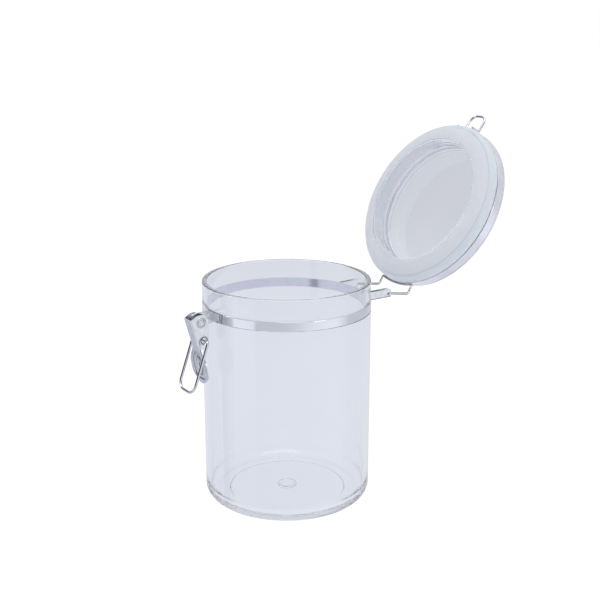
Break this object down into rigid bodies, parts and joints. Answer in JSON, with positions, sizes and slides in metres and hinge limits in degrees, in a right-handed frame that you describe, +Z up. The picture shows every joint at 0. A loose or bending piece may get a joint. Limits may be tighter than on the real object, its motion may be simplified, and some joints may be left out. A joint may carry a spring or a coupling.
{
  "type": "food canister",
  "caption": "Clear round storage canister with a steel neck band, a hinged clear lid with a soft seal, and a wire bail and lever clamp; lid stands open.",
  "frame": {"origin": "centre of the jar's underside, on the plane it stands on", "axes": "+Z up along the jar's axis, +Y towards the hinge, -Y towards the clamp, +X along the hinge and clamp pivots"},
  "size_m": [0.1336, 0.2735, 0.2753],
  "materials": {
    "clear_acrylic": "clear moulded acrylic, polished",
    "silicone": "translucent white silicone",
    "steel_band": "bright rolled stainless strip",
    "pressed_steel": "bright pressed stainless sheet",
    "steel_wire": "polished drawn wire"
  },
  "bodies": {
    "canister": {"jar": "clear_acrylic", "neck_band": "steel_band", "hinge_bracket_right": "pressed_steel", "hinge_bracket_left": "pressed_steel", "latch_bracket": "pressed_steel", "lever_rivet": "pressed_steel"},
    "lid": {"lid_shell": "clear_acrylic", "lid_seal": "silicone", "lid_band": "steel_band", "hinge_wire": "steel_wire", "catch_wire": "steel_wire"},
    "lever": {"lever": "pressed_steel"},
    "bail": {"bail": "steel_wire"}
  },
  "joints": [
    {"name": "lid_hinge", "type": "hinge", "parent": "canister", "child": "lid", "pos_m": [0, 0.0804, 0.148], "axis": [1, 0, 0], "range_deg": [0, 119.2]},
    {"name": "lever_pivot", "type": "hinge", "parent": "canister", "child": "lever", "pos_m": [0, -0.075, 0.1474], "axis": [-1, 0, 0], "range_deg": [0, 90]},
    {"name": "bail_pivot", "type": "hinge", "parent": "lever", "child": "bail", "pos_m": [0, -0.0726, 0.134], "axis": [-1, 0, 0], "range_deg": [0, 70]}
  ]
}
